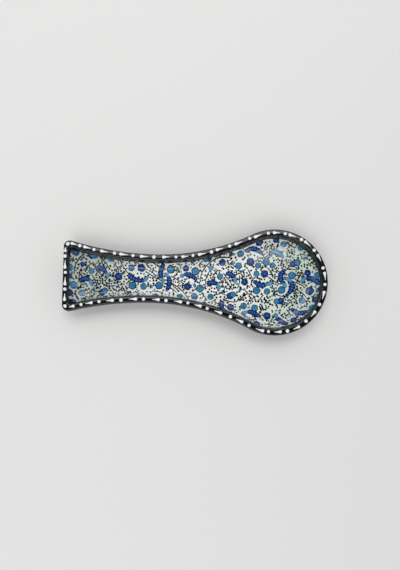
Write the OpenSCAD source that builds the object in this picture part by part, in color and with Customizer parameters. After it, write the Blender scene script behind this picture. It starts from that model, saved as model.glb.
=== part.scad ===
// Glazed ceramic spoon rest: a shallow spoon-shaped dish with a round bowl, a
// waisted neck and a square-ended handle. +X runs from the handle to the bowl,
// +Z is up, and the origin is under the middle of the dish, on the table.

/* [Outline] */
// Length over the lip
body_length = 250; // [215:1:300]
// Width of the bowl over the lip
bowl_width = 100.5; // [86:0.5:120]
// Width of the handle's end over the lip
end_width = 71; // [58:1:84]
// Width of the neck over the lip
neck_width = 46; // [42:1:58]
// Distance of the neck from the handle's end
neck_place = 85; // [65:1:100]
// Radius of the two outer corners of the handle
corner_radius = 6; // [4.5:0.5:9]

/* [Lip and wall] */
// Height from the table to the glazed top of the lip
body_height = 20; // [16:0.5:28]
// Width of the lip along the sides and round the bowl
lip_width = 6.6; // [5.6:0.1:7.6]
// Width of the lip across the handle's end
end_lip_width = 4.8; // [4.6:0.1:6]
// Width of the flat that runs along the top of the lip
land_width = 3.4; // [2.6:0.1:3.5]
// Height of the rounded outer side of the lip
lip_depth = 3.5; // [3:0.5:7]
// Height of the rounded inner edge of the lip
lip_fall = 2; // [1.2:0.1:3]

/* [Inside] */
// Height of the glazed floor above the table
floor_height = 6; // [5:0.25:8]
// Plan width of the cove between wall and floor along the sides
cove_width = 7.5; // [5.5:0.5:9]
// Plan width of the cove at the handle's end
end_cove_width = 19; // [12:0.5:24]
// Plan width of the cove at the tip of the bowl
tip_cove_width = 15; // [9:0.5:20]
// How far down the cove the black glaze reaches along the sides, in degrees of its arc
black_reach = 28; // [20:1:45]
// How far down the cove the black glaze reaches at the two ends
end_black_reach = 10; // [6:1:24]

/* [Foot] */
// How far the foot stands inside the lip along the sides
foot_inset = 7; // [4:0.5:8]
// How far the foot stands inside the lip at the handle's end
end_foot_inset = 11; // [6:0.5:14]
// How far the foot stands inside the lip at the tip of the bowl
tip_foot_inset = 9; // [5:0.5:12]
// Width of the bare foot ring
foot_width = 4; // [3:0.5:6]
// Depth of the hollow inside the foot ring
foot_hollow = 1.5; // [0.8:0.1:2]
// Height of the bare clay below the edge of the black glaze
bare_height = 1.6; // [1:0.1:2.5]
// How far the outer wall swells beyond a straight line
wall_swell = 0.9; // [0:0.1:1.5]

/* [Glaze and enamel] */
// Thickness of the black and of the white glaze
glaze_thickness = 0.4; // [0.2:0.05:0.5]
// Diameter of an enamel dot
dot_diameter = 3.2; // [2:0.1:3.4]
// Height of an enamel dot
dot_height = 0.8; // [0.4:0.1:1.2]
// Length of an enamel drop
drop_length = 7.8; // [5:0.1:9]
// Width of the round head of a drop
drop_head = 3; // [2:0.1:3.4]
// Width of the thin tail of a drop
drop_tail = 0.9; // [0.6:0.1:1.6]
// Height of an enamel drop
drop_height = 0.7; // [0.4:0.1:1.1]
// Width of a painted flower
flower_width = 6; // [4.5:0.1:7]
// Width of a painted feather leaf
leaf_width = 4.2; // [3:0.1:5]
// Thickness of the fired colours on the floor
colour_thickness = 0.15; // [0.1:0.01:0.25]
// Bare ground left between two painted shapes
colour_gap = 0.3; // [0.2:0.05:0.5]

/* [Hidden] */

// Pairs of a dot and a drop round the lip, and where the first of each stands
pair_count = 34;
first_dot_share = 0.1;
first_drop_share = 0.6;
tail_fall_share = 0.4;

// Steps of the outline's arcs and of the section's curves
corner_steps = 4;
handle_steps = 8;
neck_steps = 8;
bowl_steps = 15;
wall_steps = 3;
shoulder_steps = 4;
drop_steps = 7;
tail_steps = 2;
fall_steps = 2;
band_steps = 2;
cove_steps = 5;

// The outline: a bowl circle, two neck arcs that touch it, two handle arcs that
// meet the neck arcs at the waist, and a straight end with two corners
bowl_radius = bowl_width / 2;
bowl_x = body_length - bowl_radius;
neck_half = neck_width / 2;
flare = end_width / 2 - neck_half;
reach = bowl_x - neck_place;
neck_radius = (reach ^ 2 + neck_half ^ 2 - bowl_radius ^ 2) / (2 * (bowl_radius - neck_half));
handle_radius = (neck_place ^ 2 + flare ^ 2) / (2 * flare);
neck_centre_y = neck_half + neck_radius;
handle_centre_y = neck_half + handle_radius;
bowl_turn = atan2(reach, neck_centre_y);
inner_corner = corner_radius * 0.4;
floor_corner = corner_radius * 1.3;

lip_foot = body_height - lip_depth;
cove_top = body_height - lip_fall;
foot_chamfer = foot_width * 0.12;

// A ring is [side inset, end inset, tip inset, side height, end height, corner radius]
function upper_half(r) =
    let (
        cx = r[1] + r[5],
        span = handle_radius + r[0] + r[5],
        cy = handle_centre_y - sqrt(span ^ 2 - (neck_place - cx) ^ 2),
        last = atan2(handle_centre_y - cy, neck_place - cx),
        first = atan2(cx - neck_place, handle_centre_y - cy),
        stretch = (bowl_radius - r[2]) / (bowl_radius - r[0]),
        rise = r[4] - r[3]
    )
    concat(
        [for (i = [0 : corner_steps])
            let (a = 180 + (last - 180) * i / corner_steps, w = cos(90 * i / corner_steps) ^ 2)
            [cx + r[5] * cos(a), cy + r[5] * sin(a), r[3] + rise * w]],
        [for (i = [1 : handle_steps]) let (a = first * (1 - i / handle_steps))
            [neck_place + (handle_radius + r[0]) * sin(a),
                handle_centre_y - (handle_radius + r[0]) * cos(a), r[3]]],
        [for (i = [1 : neck_steps]) let (a = bowl_turn * i / neck_steps)
            [neck_place + (neck_radius + r[0]) * sin(a),
                neck_centre_y - (neck_radius + r[0]) * cos(a), r[3]]],
        [for (i = [1 : bowl_steps])
            let (a = (90 + bowl_turn) * (1 - i / bowl_steps), c = max(0, cos(a)))
            [bowl_x + (bowl_radius - r[0]) * cos(a) * (cos(a) > 0 ? stretch : 1),
                i == bowl_steps ? 0 : (bowl_radius - r[0]) * sin(a), r[3] + rise * c ^ 2]]
    );

function outline(r) =
    let (up = upper_half(r), m = len(up))
    concat(
        [for (p = up) [p[0] - body_length / 2, p[1], p[2]]],
        [for (i = [m - 2 : -1 : 0]) [up[i][0] - body_length / 2, -up[i][1], up[i][2]]]
    );

// The section, from the glaze line up the outside, over the lip and down the cove.
// deep is how far below the glazed surface the ring lies
function wall_rings(deep) =
    [for (i = [0 : wall_steps - 1])
        let (
            f = (1 - bare_height / lip_foot) * (1 - i / wall_steps),
            h = lip_foot * (1 - f),
            out = deep - wall_swell * sin(180 * f)
        )
        [foot_inset * f + out, end_foot_inset * f + out, tip_foot_inset * f + out, h, h, corner_radius]];

function lip_rings(deep) =
    let (side = (lip_width - land_width) / 2, end = (end_lip_width - land_width) / 2)
    concat(
        [for (i = [0 : shoulder_steps])
            let (a = 90 * i / shoulder_steps, h = lip_foot + (lip_depth - deep) * sin(a))
            [side - (side - deep) * cos(a), end - (end - deep) * cos(a),
                side - (side - deep) * cos(a), h, h, corner_radius - side + side * cos(a)]],
        [for (i = [0 : fall_steps])
            let (a = 90 * i / fall_steps, h = cove_top + (lip_fall - deep) * cos(a))
            [side + land_width + (side - deep) * sin(a), end + land_width + (end - deep) * sin(a),
                side + land_width + (side - deep) * sin(a), h, h, inner_corner + side * cos(a)]]
    );

// The cove is a quarter of an ellipse, followed to a degrees at the sides and b at the ends
function cove_ring(deep, a, b) =
    [lip_width + cove_width - (cove_width + deep) * cos(a),
        end_lip_width + end_cove_width - (end_cove_width + deep) * cos(b),
        lip_width + tip_cove_width - (tip_cove_width + deep) * cos(b),
        cove_top - (cove_top - floor_height + deep) * sin(a),
        cove_top - (cove_top - floor_height + deep) * sin(b),
        inner_corner + (floor_corner - inner_corner) * sin(a)];

function band_rings(deep) =
    [for (i = [1 : band_steps]) let (t = i / band_steps)
        cove_ring(deep, black_reach * t, end_black_reach * t)];

function floor_rings(deep) =
    [for (i = [0 : cove_steps]) let (t = i / cove_steps)
        cove_ring(deep, black_reach + (90 - black_reach) * t, end_black_reach + (90 - end_black_reach) * t)];

function foot_rings() =
    let (
        side = foot_inset + glaze_thickness,
        end = end_foot_inset + glaze_thickness,
        tip = tip_foot_inset + glaze_thickness,
        in = foot_width + foot_hollow
    )
    [[side + in, end + in, tip + in, foot_hollow, foot_hollow, inner_corner],
        [side + foot_width, end + foot_width, tip + foot_width, 0, 0, inner_corner],
        [side + foot_chamfer, end + foot_chamfer, tip + foot_chamfer, 0, 0, corner_radius - foot_chamfer],
        [side, end, tip, foot_chamfer, foot_chamfer, corner_radius]];

function backwards(rows) = [for (i = [len(rows) - 1 : -1 : 0]) rows[i]];

// Faces between ring k and the next, whose quads are cut along either diagonal
function band_faces(k, next, n, other) =
    [for (i = [0 : n - 1]) let (j = (i + 1) % n, a = k * n, b = next * n)
        each (other ? [[a + i, a + j, b + i], [a + j, b + j, b + i]]
            : [[a + i, a + j, b + j], [a + i, b + j, b + i]])];

// A flat face across ring k, as a strip between its two mirrored halves
function cap_faces(k, n, up) =
    [for (i = [0 : (n - 1) / 2 - 1]) let (a = k * n, p = n - 1 - i)
        each (i == (n - 1) / 2 - 1 ? [up ? [a + i, a + i + 1, a + p] : [a + i, a + p, a + i + 1]]
            : up ? [[a + i, a + i + 1, a + p], [a + i + 1, a + p - 1, a + p]]
            : [[a + i, a + p, a + i + 1], [a + i + 1, a + p, a + p - 1]])];

// A closed dish surface through rows, with a flat face over its first and last ring.
// The rows before turn run outward under the surface, so their quads are cut the other way
module dish(rows, turn) {
    n = len(outline(rows[0]));
    last = len(rows) - 1;
    polyhedron(
        points = [for (r = rows) each outline(r)],
        faces = concat(cap_faces(0, n, false), cap_faces(last, n, true),
            [for (k = [0 : last - 1]) each band_faces(k, k + 1, n, k < turn)]));
}

// A closed collar through rows, whose last ring joins its first. The rows from turn on
// run back under the surface, so their quads are cut the other way
module collar(rows, turn) {
    n = len(outline(rows[0]));
    polyhedron(
        points = [for (r = rows) each outline(r)],
        faces = [for (k = [0 : len(rows) - 1])
            each band_faces(k, (k + 1) % len(rows), n, k >= turn)]);
}

module clay_body() {
    t = glaze_thickness;
    rows = concat(foot_rings(), wall_rings(t), lip_rings(t), band_rings(t),
        [for (i = [1 : cove_steps]) floor_rings(t)[i]]);
    color("wheat") dish(rows, 0);
}

module black_glaze() {
    t = glaze_thickness;
    outside = concat(wall_rings(0), lip_rings(0), band_rings(0));
    inside = concat(wall_rings(t), lip_rings(t), band_rings(t));
    color([0.07, 0.07, 0.09]) collar(concat(outside, backwards(inside)), len(outside));
}

module white_glaze() {
    inside = backwards(floor_rings(glaze_thickness));
    color("ivory") dish(concat(inside, floor_rings(0)), len(inside));
}

// The line the enamel follows, in the middle of the flat of the lip
lip_line = outline([lip_width / 2, end_lip_width / 2, lip_width / 2, body_height, body_height,
    corner_radius - land_width / 2]);
lip_points = len(lip_line);

function side_of(i) = lip_line[(i + 1) % lip_points] - lip_line[i % lip_points];
function length_to(i) = i == 0 ? 0 : length_to(i - 1) + norm(side_of(i - 1));

lip_lengths = [for (i = [0 : lip_points]) length_to(i)];
lip_length = lip_lengths[lip_points];

// Puts its child on the lip, a share of the way round, with +X along the lip
module on_lip(share) {
    s = share * lip_length;
    i = [for (k = [0 : lip_points - 1]) if (lip_lengths[k] <= s && s < lip_lengths[k + 1]) k][0];
    d = side_of(i);
    p = lip_line[i] + d * (s - lip_lengths[i]) / norm(d);
    translate([p[0], p[1], p[2]]) rotate([0, 0, atan2(d[1], d[0])]) children();
}

// A dot stands up as a cap cut from a sphere
module enamel_dots() {
    r = dot_diameter / 2;
    ball = (r ^ 2 + dot_height ^ 2) / (2 * dot_height);
    color("white") for (k = [0 : pair_count - 1]) on_lip((k + first_dot_share) / pair_count)
        intersection() {
            translate([0, 0, dot_height - ball]) sphere(ball, $fn = 24);
            cylinder(h = dot_height, r = r, $fn = 24);
        }
}

// A drop's outline at a share of its height, head towards -X
function drop_ring(share) =
    let (h = drop_head / 2, t = drop_tail / 2, s = sqrt(1 - share ^ 2), m = drop_length / 2)
    [for (i = [0 : drop_steps]) let (a = 70 + 220 * i / drop_steps)
        [h - m + h * s * cos(a), -h * s * sin(a), drop_height * share],
        for (i = [0 : tail_steps]) let (a = -80 + 160 * i / tail_steps)
        [m - t - drop_tail * share + t * s * cos(a), -t * s * sin(a),
            drop_height * share * (1 - tail_fall_share * share)]];

module enamel_drops() {
    levels = [0, 0.55, 0.9];
    n = drop_steps + tail_steps + 2;
    points = [for (v = levels) each drop_ring(v)];
    color("white") for (k = [0 : pair_count - 1]) on_lip((k + first_drop_share) / pair_count)
        polyhedron(points = points, faces = concat(
            [[for (i = [n - 1 : -1 : 0]) i]],
            [for (k = [0 : len(levels) - 2]) each band_faces(k, k + 1, n, false)],
            [[for (i = [0 : n - 1]) (len(levels) - 1) * n + i]]));
}

// The flat floor that the painting is cut to
module floor_plan() {
    r = cove_ring(0, 90, 90);
    polygon([for (p = outline(r)) [p[0], p[1]]]);
}

// Places are shares of the length, from the handle's end and from the middle line
module at_shares(p) {
    translate([(p[0] - 0.5) * body_length, p[1] * body_length]) children();
}

// A flower has a round middle and five round petals
module flower(size, grow) {
    circle(r = size * 0.24 + grow);
    for (k = [0 : 4]) rotate(90 + k * 72) translate([size * 0.29, 0]) circle(r = size * 0.21 + grow);
}

// A leaf curves from its stalk at the origin to its tip on +X, with teeth on its outer side
leaf_shares = [[0, 0], [0.14, 0.1], [0.19, 0.34], [0.27, 0.3], [0.34, 0.66], [0.43, 0.6],
    [0.5, 0.94], [0.6, 0.8], [0.68, 0.92], [0.76, 0.62], [0.86, 0.62], [0.92, 0.32], [1, 0],
    [0.86, 0.04], [0.7, 0.12], [0.5, 0.16], [0.3, 0.12], [0.14, 0.03]];

module leaf(p) {
    at_shares(p) rotate(p[2]) mirror([0, p[3] < 0 ? 1 : 0])
        polygon([for (q = leaf_shares) [q[0] * p[4] * body_length, q[1] * leaf_width]]);
}

module all_flowers(places, grow) {
    for (p = places) at_shares(p) flower(flower_width * p[2], grow);
}

// Flowers are [along share, across share, size share]
cobalt_shares = [[0.197, 0.008, 1.1], [0.14, -0.052, 1], [0.286, 0.044, 0.9], [0.463, 0.049, 1],
    [0.469, -0.022, 1.1], [0.605, 0.078, 1], [0.716, 0.084, 0.9], [0.773, 0.038, 0.9],
    [0.694, 0.004, 1], [0.645, -0.049, 1], [0.887, 0.086, 0.9], [0.818, -0.071, 1],
    [0.781, -0.127, 0.8]];
turquoise_shares = [[0.25, -0.026, 0.9], [0.296, -0.028, 0.7], [0.248, 0.043, 0.9],
    [0.404, 0.043, 0.9], [0.357, -0.022, 1], [0.501, 0.038, 0.9], [0.519, -0.028, 0.9],
    [0.597, 0.022, 0.9], [0.558, -0.058, 0.8], [0.668, 0.068, 0.9], [0.678, 0.114, 0.9],
    [0.747, 0.073, 0.8], [0.779, 0.091, 0.7], [0.808, 0.072, 0.9], [0.741, 0.037, 0.7],
    [0.743, -0.028, 0.9], [0.783, -0.03, 0.8], [0.69, -0.091, 0.9], [0.7335, -0.097, 0.9],
    [0.8815, 0.036, 1.1], [0.84, -0.02, 0.9], [0.84, -0.066, 0.9], [0.667, -0.05, 0.9],
    [0.162, -0.046, 0.9]];
// Leaves are [along share, across share, turn, side of the teeth, length share]
leaf_places_shares = [[0.108, 0.038, -37, 1, 0.06], [0.2365, 0.017, -6, -1, 0.07],
    [0.374, 0.056, -90, -1, 0.06], [0.392, 0.022, -87, 1, 0.062], [0.4436, 0.012, -9, 1, 0.062],
    [0.621, 0.03, -40, 1, 0.05], [0.546, -0.01, -16, 1, 0.05], [0.7315, 0.006, -1, -1, 0.062],
    [0.688, -0.115, -10, -1, 0.06], [0.7, 0.12, -10, 1, 0.06], [0.854, 0.062, -95, -1, 0.056],
    [0.868, 0.004, -90, 1, 0.06], [0.818, -0.108, -40, -1, 0.055]];

module paint_on_floor() {
    translate([0, 0, floor_height]) linear_extrude(colour_thickness)
        intersection() {
            floor_plan();
            children();
        }
}

module turquoise_flowers() {
    color([0.16, 0.44, 0.66]) paint_on_floor() all_flowers(turquoise_shares, 0);
}

module cobalt_flowers() {
    color([0.12, 0.14, 0.45]) paint_on_floor() difference() {
        all_flowers(cobalt_shares, 0);
        all_flowers(turquoise_shares, colour_gap);
    }
}

module feather_leaves() {
    color([0.14, 0.17, 0.5]) paint_on_floor() difference() {
        for (p = leaf_places_shares) leaf(p);
        all_flowers(turquoise_shares, colour_gap);
        all_flowers(cobalt_shares, colour_gap);
    }
}

clay_body();
white_glaze();
black_glaze();
enamel_dots();
enamel_drops();
cobalt_flowers();
turquoise_flowers();
feather_leaves();
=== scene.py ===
import math
import random

import bpy
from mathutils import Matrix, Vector
from mathutils.bvhtree import BVHTree


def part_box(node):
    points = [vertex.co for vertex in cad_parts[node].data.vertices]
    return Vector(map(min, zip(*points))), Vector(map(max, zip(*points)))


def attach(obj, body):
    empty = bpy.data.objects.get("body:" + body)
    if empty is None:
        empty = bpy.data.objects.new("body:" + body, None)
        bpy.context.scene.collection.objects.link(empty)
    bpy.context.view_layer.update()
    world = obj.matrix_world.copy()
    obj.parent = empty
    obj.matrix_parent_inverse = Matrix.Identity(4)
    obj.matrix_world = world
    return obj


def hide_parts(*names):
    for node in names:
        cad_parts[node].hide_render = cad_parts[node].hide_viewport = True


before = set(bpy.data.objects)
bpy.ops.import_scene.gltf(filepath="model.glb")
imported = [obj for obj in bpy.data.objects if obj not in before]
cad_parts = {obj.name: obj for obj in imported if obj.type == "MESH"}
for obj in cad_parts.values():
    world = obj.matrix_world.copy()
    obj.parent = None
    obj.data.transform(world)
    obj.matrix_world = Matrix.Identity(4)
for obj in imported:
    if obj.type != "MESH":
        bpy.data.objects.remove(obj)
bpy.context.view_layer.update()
toMetres = 0.001  # sizes below are millimetres, meshes and lamps are metres
dice = random.Random(34)
print("frame loaded")

# The dish. Its length, width and height come from the frame, the rest repeats the CAD source
glazeLow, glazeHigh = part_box("black_glaze")
dish = {
    "length": (glazeHigh.x - glazeLow.x) / toMetres,
    "bowlWidth": (glazeHigh.y - glazeLow.y) / toMetres,
    "endWidth": 71,
    "neckWidth": 46,
    "neckPlace": 85,
    "cornerRadius": 6,
    "height": glazeHigh.z / toMetres,
    "lipWidth": 6.6,
    "endLipWidth": 4.8,
    "landWidth": 3.4,
    "lipDepth": 3.5,
    "lipFall": 2,
    "floorHeight": 6,
    "coveWidth": 7.5,
    "endCoveWidth": 19,
    "tipCoveWidth": 15,
    "blackReach": 28,
    "endBlackReach": 10,
    "footInset": 7,
    "endFootInset": 11,
    "tipFootInset": 9,
    "footWidth": 4,
    "footHollow": 1.5,
    "bareHeight": 1.6,
    "wallSwell": 0.9,
    "glaze": 0.4,
    "edgeRelief": 0.25,  # the black slip stands this far over the white
    "edgeWave": 0.05,  # how far the brushed edge wanders, as a share of the cove
    "edgeCounts": (9, 17, 31, 46),
    "edgeDepth": 0.1,
    "underEdge": 0.1,  # the white starts this share of the cove under the black edge
    "innerCornerShare": 0.4,
    "floorCornerShare": 1.3,
    "chamferShare": 0.12,
    "sharpAngle": math.radians(48),
}
steps = {"corner": 10, "handle": 44, "neck": 40, "bowl": 70, "wall": 12, "shoulder": 8, "fall": 5,
         "band": 6, "floor": 24, "table": 60}

# The photograph's camera: lengths in mm, places in its picture in pixels
shot = {
    "focal": 400,
    "middle": (195.5, 330.6),
    "height": 395.1,
    "forward": -47.8,
    "roll": math.radians(1.87),
    "picture": (400, 570),
    "sensor": 36,
}

# The outline: a bowl circle, neck arcs that touch it, handle arcs, and a straight end
bowlRadius = dish["bowlWidth"] / 2
bowlX = dish["length"] - bowlRadius
neckHalf = dish["neckWidth"] / 2
flare = dish["endWidth"] / 2 - neckHalf
reach = bowlX - dish["neckPlace"]
neckRadius = (reach**2 + neckHalf**2 - bowlRadius**2) / (2 * (bowlRadius - neckHalf))
handleRadius = (dish["neckPlace"] ** 2 + flare**2) / (2 * flare)
neckCentreY = neckHalf + neckRadius
handleCentreY = neckHalf + handleRadius
bowlTurn = math.atan2(reach, neckCentreY)
innerCorner = dish["cornerRadius"] * dish["innerCornerShare"]
floorCorner = dish["cornerRadius"] * dish["floorCornerShare"]
lipFoot = dish["height"] - dish["lipDepth"]
coveTop = dish["height"] - dish["lipFall"]


# A ring is side inset, end inset, tip inset, side height, end height, corner radius
def outline(ring):
    side, end, tip, low, high, corner = ring
    neckPlace = dish["neckPlace"]
    cornerX = end + corner
    span = handleRadius + side + corner
    cornerY = handleCentreY - math.sqrt(span**2 - (neckPlace - cornerX) ** 2)
    last = math.atan2(handleCentreY - cornerY, neckPlace - cornerX)
    first = math.atan2(cornerX - neckPlace, handleCentreY - cornerY)
    stretch = (bowlRadius - tip) / (bowlRadius - side)
    half = []
    for i in range(steps["corner"] + 1):
        share = i / steps["corner"]
        a = math.pi + (last - math.pi) * share
        height = low + (high - low) * math.cos(math.pi / 2 * share) ** 2
        half.append((cornerX + corner * math.cos(a), cornerY + corner * math.sin(a), height))
    for i in range(1, steps["handle"] + 1):
        a = first * (1 - i / steps["handle"])
        radius = handleRadius + side
        half.append((neckPlace + radius * math.sin(a), handleCentreY - radius * math.cos(a), low))
    for i in range(1, steps["neck"] + 1):
        a = bowlTurn * i / steps["neck"]
        radius = neckRadius + side
        half.append((neckPlace + radius * math.sin(a), neckCentreY - radius * math.cos(a), low))
    for i in range(1, steps["bowl"] + 1):
        a = (math.pi / 2 + bowlTurn) * (1 - i / steps["bowl"])
        across = (bowlRadius - side) * math.cos(a)
        if across > 0:
            across *= stretch
        y = 0 if i == steps["bowl"] else (bowlRadius - side) * math.sin(a)
        half.append((bowlX + across, y, low + (high - low) * max(0, math.cos(a)) ** 2))
    upper = [Vector((x - dish["length"] / 2, y, z)) for x, y, z in half]
    return upper + [Vector((p.x, -p.y, p.z)) for p in upper[-2::-1]]


# deep is how far a ring lies below the glazed surface
def wallRings(deep):
    rings = []
    for i in range(steps["wall"]):
        f = (1 - dish["bareHeight"] / lipFoot) * (1 - i / steps["wall"])
        out = deep - dish["wallSwell"] * math.sin(math.pi * f)
        z = lipFoot * (1 - f)
        insets = [dish[key] * f + out for key in ("footInset", "endFootInset", "tipFootInset")]
        rings.append((*insets, z, z, dish["cornerRadius"]))
    return rings


def lipRings(deep):
    land = dish["landWidth"]
    side = (dish["lipWidth"] - land) / 2
    end = (dish["endLipWidth"] - land) / 2
    rings = []
    for i in range(steps["shoulder"] + 1):
        a = math.pi / 2 * i / steps["shoulder"]
        z = lipFoot + (dish["lipDepth"] - deep) * math.sin(a)
        inset = side - (side - deep) * math.cos(a)
        endInset = end - (end - deep) * math.cos(a)
        rings.append((inset, endInset, inset, z, z, dish["cornerRadius"] - side + side * math.cos(a)))
    for i in range(steps["fall"] + 1):
        a = math.pi / 2 * i / steps["fall"]
        z = coveTop + (dish["lipFall"] - deep) * math.cos(a)
        inset = side + land + (side - deep) * math.sin(a)
        endInset = end + land + (end - deep) * math.sin(a)
        rings.append((inset, endInset, inset, z, z, innerCorner + side * math.cos(a)))
    return rings


# share runs from 0 under the lip through 1 at the black edge to 2 at the flat floor
def coveRing(deep, share):
    down = min(share, 1)
    further = max(share - 1, 0)
    a = math.radians(dish["blackReach"] * down + (90 - dish["blackReach"]) * further)
    b = math.radians(dish["endBlackReach"] * down + (90 - dish["endBlackReach"]) * further)
    fall = coveTop - dish["floorHeight"] + deep
    return (
        dish["lipWidth"] + dish["coveWidth"] - (dish["coveWidth"] + deep) * math.cos(a),
        dish["endLipWidth"] + dish["endCoveWidth"] - (dish["endCoveWidth"] + deep) * math.cos(b),
        dish["lipWidth"] + dish["tipCoveWidth"] - (dish["tipCoveWidth"] + deep) * math.cos(b),
        coveTop - fall * math.sin(a),
        coveTop - fall * math.sin(b),
        innerCorner + (floorCorner - innerCorner) * math.sin(a),
    )


def footRings():
    insets = [dish[key] + dish["glaze"] for key in ("footInset", "endFootInset", "tipFootInset")]
    chamfer = dish["footWidth"] * dish["chamferShare"]
    inner = dish["footWidth"] + dish["footHollow"]
    rows = [(inner, dish["footHollow"], innerCorner), (dish["footWidth"], 0, innerCorner),
            (chamfer, 0, dish["cornerRadius"] - chamfer), (0, chamfer, dish["cornerRadius"])]
    return [(*[inset + more for inset in insets], z, z, corner) for more, z, corner in rows]


def coveTable(deep):
    return [outline(coveRing(deep, 2 * k / steps["table"])) for k in range(steps["table"] + 1)]


def covePoint(table, i, share):
    place = min(max(share, 0), 2) / 2 * steps["table"]
    k = min(int(place), steps["table"] - 1)
    return table[k][i].lerp(table[k + 1][i], place - k)


def makeMesh(name, points, faces, material):
    mesh = bpy.data.meshes.new(name)
    mesh.from_pydata([p * toMetres for p in points], [], faces)
    mesh.materials.append(material)
    for polygon in mesh.polygons:
        polygon.use_smooth = True
    mesh.set_sharp_from_angle(angle=dish["sharpAngle"])
    piece = bpy.data.objects.new(name, mesh)
    bpy.context.scene.collection.objects.link(piece)
    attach(piece, "root")
    return piece


def dishFaces(rows, capFirst, capLast):
    n = len(rows[0])
    faces = []
    for k in range(len(rows) - 1):
        for i in range(n):
            j = (i + 1) % n
            faces.append((k * n + i, (k + 1) * n + i, (k + 1) * n + j, k * n + j))
    for wanted, k, up in ((capFirst, 0, False), (capLast, len(rows) - 1, True)):
        if not wanted:
            continue
        for i in range((n - 1) // 2):
            a, b = k * n + i, k * n + i + 1
            c, d = k * n + n - 2 - i, k * n + n - 1 - i
            face = (a, b, d) if b == c else (a, b, c, d)
            faces.append(face[::-1] if up else face)
    return faces


# A layer of the dish, dressed as the CAD node that it stands for
def makeShell(name, rows, capFirst, capLast, material, node):
    points = [p for row in rows for p in row]
    faces = dishFaces(rows, capFirst, capLast)
    shell = makeMesh(name, points, faces, material)
    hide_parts(node)
    return points, faces


# Colours are sRGB hex
def linear(hexColour):
    channels = [int(hexColour[i:i + 2], 16) / 255 for i in (1, 3, 5)]
    return (*[c / 12.92 if c <= 0.04045 else ((c + 0.055) / 1.055) ** 2.4 for c in channels], 1)


# An input is given a value, or the socket that feeds it
def addNode(tree, kind, inputs, **settings):
    node = tree.nodes.new(kind)
    for name, value in settings.items():
        setattr(node, name, value)
    for name, value in inputs.items():
        if isinstance(value, bpy.types.NodeSocket):
            tree.links.new(value, node.inputs[name])
        else:
            node.inputs[name].default_value = value
    return node


# A material starts with its shader's constants, its noise, and a bump of a real size in mm
def newMaterial(name, roughness, ior, bumpSize, bumpHeight):
    material = bpy.data.materials.new(name)
    material.use_nodes = True
    tree = material.node_tree
    shader = tree.nodes["Principled BSDF"]
    shader.inputs["Roughness"].default_value = roughness
    shader.inputs["IOR"].default_value = ior
    place = addNode(tree, "ShaderNodeTexCoord", {}).outputs["Object"]
    rough = addNode(tree, "ShaderNodeTexNoise",
                    {"Scale": 1 / (bumpSize * toMetres), "Detail": 2, "Vector": place})
    bump = addNode(tree, "ShaderNodeBump",
                   {"Strength": 1, "Distance": bumpHeight * toMetres, "Height": rough.outputs["Fac"]})
    tree.links.new(bump.outputs["Normal"], shader.inputs["Normal"])
    return material, tree, shader, place


# Lays a colour over the ground in soft patches of a size in mm, where the noise is over low
def patches(tree, place, ground, colour, size, low, high, detail=3):
    noise = addNode(tree, "ShaderNodeTexNoise",
                    {"Scale": 1 / (size * toMetres), "Detail": detail, "Vector": place})
    share = addNode(tree, "ShaderNodeMapRange",
                    {"From Min": low, "From Max": high, "Value": noise.outputs["Fac"]})
    mix = addNode(tree, "ShaderNodeMix", {0: share.outputs["Result"], 6: ground, 7: linear(colour)},
                  data_type="RGBA")
    return mix.outputs[2]


glazes = {
    "black": "#07090F", "blackThin": "#12130F",
    # the two greener greys and their spans along x in mm are painted shade towards the handle end and the
    # bowl end
    "white": "#FBFBF5", "whiteCool": "#F1F6F1", "paintedShadeHandle": "#BFC9BF", "paintedShadeBowl": "#CAD8CB",
    "speck": "#9DA39A", "handleShadeSpan": (-45, -105), "bowlShadeSpan": (35, 112),
    "clay": "#B9936B", "clayPale": "#CDAE88", "clayIron": "#7C5A3C",
    # finishes are roughness, index of refraction, size and height of the bump in mm
    "blackFinish": (0.09, 1.52, 9, 0.03),
    "clearFinish": (0.1, 1.5, 9, 0.03),
    "clayFinish": (0.85, 1.5, 0.7, 0.12),
    # patches are size in mm, where the noise starts and ends, and its detail where it isn't 3
    "thinPatch": (14, 0.5, 0.75), "coolPatch": (22, 0.35, 0.65),
    "speckPatch": (1.3, 0.72, 0.78, 1),  # pinholes, about 1 mm
    "palePatch": (1.2, 0.35, 0.65), "ironPatch": (0.9, 0.68, 0.76, 1), "streakPatch": (1.6, 0.45, 0.8),
}
# Underglaze colours, as where the touch is thick, where it is thin, and its streaks
paints = {
    "cobaltUnderglaze": ("#04246C", "#4480CC", "#0A388C"),  # deep blue, paler where it runs thin
    "turquoiseUnderglaze": ("#2C72A4", "#7CC4E0", "#3A8CBA"),  # clear sky blue
    "blackOutline": ("#080B12", "#161D2A", "#0D1119"),  # near black with a trace of blue
    "blackGreenStemColour": ("#0A1012", "#1C2628", "#12191B"),  # softer black, green where thin
}
enamel = {
    "white": "#F4F6F6", "cool": "#DCE4E6",
    "finish": (0.22, 1.5, 1.1, 0.03), "coolPatch": (2.2, 0.4, 0.7),
    "dotDiameter": 3.1, "dotHeight": 0.75, "dotUneven": 0.1,
    "dropHead": 3, "dropTail": 0.6, "dropLength": 7.8, "dropHeight": 0.65,
    "dropLengths": (0.9, 1.08), "tailPower": 1.9, "tailEnd": 0.9, "risePower": 0.8,
    "asideMost": 0.4, "leastHalf": 0.02, "countAlong": 18, "countAcross": 8,
    "sunk": 0.08,
}


# Glossy black glaze: deep and even, faintly blue, a shade browner in wide soft patches
def makeBlackGlaze():
    material, tree, shader, place = newMaterial("blackGlossGlaze", *glazes["blackFinish"])
    colour = patches(tree, place, linear(glazes["black"]), glazes["blackThin"], *glazes["thinPatch"])
    tree.links.new(colour, shader.inputs["Base Color"])
    return material
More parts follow.
